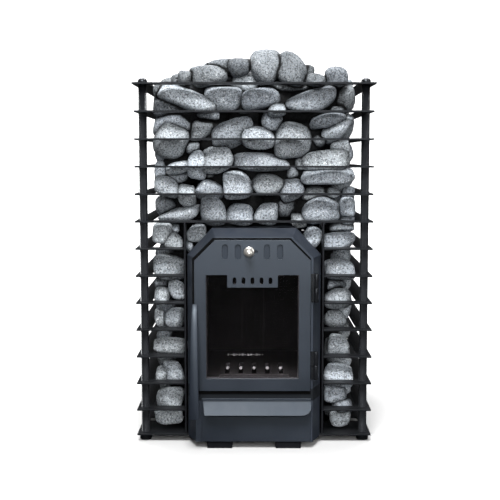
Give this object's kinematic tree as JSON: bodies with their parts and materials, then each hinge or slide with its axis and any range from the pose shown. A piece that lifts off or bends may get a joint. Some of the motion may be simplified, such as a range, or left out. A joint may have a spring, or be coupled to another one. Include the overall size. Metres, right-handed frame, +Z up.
{
  "type": "sauna heater stove",
  "caption": "Wood-fired sauna stove: firebox with glazed door, air slide and ash drawer inside a square cage of flat steel plates filled with stones.",
  "frame": {"origin": "centre of the bounding box in plan, on the floor", "axes": "+X to the right seen from the front, +Y from the door to the back, +Z up"},
  "size_m": [0.548, 0.6476, 0.9082],
  "materials": {
    "black_steel": "satin heat-proof black",
    "raw_steel": "dull, heat-darkened",
    "fire_brick": "matt, sooty",
    "rope_seal": "woven glass rope",
    "fire_glass": "clear ceramic glass",
    "bright_steel": "polished",
    "stone": "broken, speckled grey"
  },
  "bodies": {
    "stove": {"base_plate": "black_steel", "ring_01": "black_steel", "ring_02": "black_steel", "ring_03": "black_steel", "ring_04": "black_steel", "ring_05": "black_steel", "ring_06": "black_steel", "ring_07": "black_steel", "ring_08": "black_steel", "ring_09": "black_steel", "ring_10": "black_steel", "ring_11": "black_steel", "ring_12": "black_steel", "ring_13": "black_steel", "post_front_left": "black_steel", "post_front_right": "black_steel", "post_rear_left": "black_steel", "post_rear_right": "black_steel", "cap_nut_front_left": "black_steel", "cap_nut_front_right": "black_steel", "cap_nut_rear_left": "black_steel", "cap_nut_rear_right": "black_steel", "jamb_left": "black_steel", "jamb_right": "black_steel", "front_leg_left": "black_steel", "front_leg_right": "black_steel", "firebox_shell": "black_steel", "front_hood": "black_steel", "flue_pipe": "black_steel", "hinge_frame_upper": "black_steel", "hinge_frame_lower": "black_steel", "hearth_plate": "raw_steel", "grate": "raw_steel", "lining_left": "fire_brick", "lining_right": "fire_brick", "lining_rear": "fire_brick", "baffle": "fire_brick", "stones_lower_left": "stone", "stones_lower_right": "stone", "stones_lower_rear": "stone", "stones_upper_left": "stone", "stones_upper_right": "stone", "stones_upper_rear": "stone", "stones_upper_front": "stone", "stones_heap": "stone"},
    "door": {"door_panel": "black_steel", "door_gasket": "rope_seal", "door_glass": "fire_glass", "glass_gasket": "rope_seal", "glass_retainer": "raw_steel", "door_handle": "black_steel", "hinge_door_upper": "black_steel", "hinge_door_lower": "black_steel", "slide_guide": "raw_steel"},
    "air_slide": {"air_slide": "raw_steel", "air_knob": "bright_steel"},
    "ash_drawer": {"drawer_front": "black_steel", "ash_tray": "raw_steel", "drawer_handle": "black_steel"}
  },
  "joints": [
    {"name": "door_hinge", "type": "hinge", "parent": "stove", "child": "door", "pos_m": [0.1385, -0.2762, 0.28], "axis": [0, 0, 1], "range_deg": [0, 120]},
    {"name": "air_slide_travel", "type": "slide", "parent": "door", "child": "air_slide", "axis": [1, 0, 0], "range_m": [0, 0.015]},
    {"name": "ash_drawer_slide", "type": "slide", "parent": "stove", "child": "ash_drawer", "axis": [0, -1, 0], "range_m": [0, 0.28]}
  ]
}
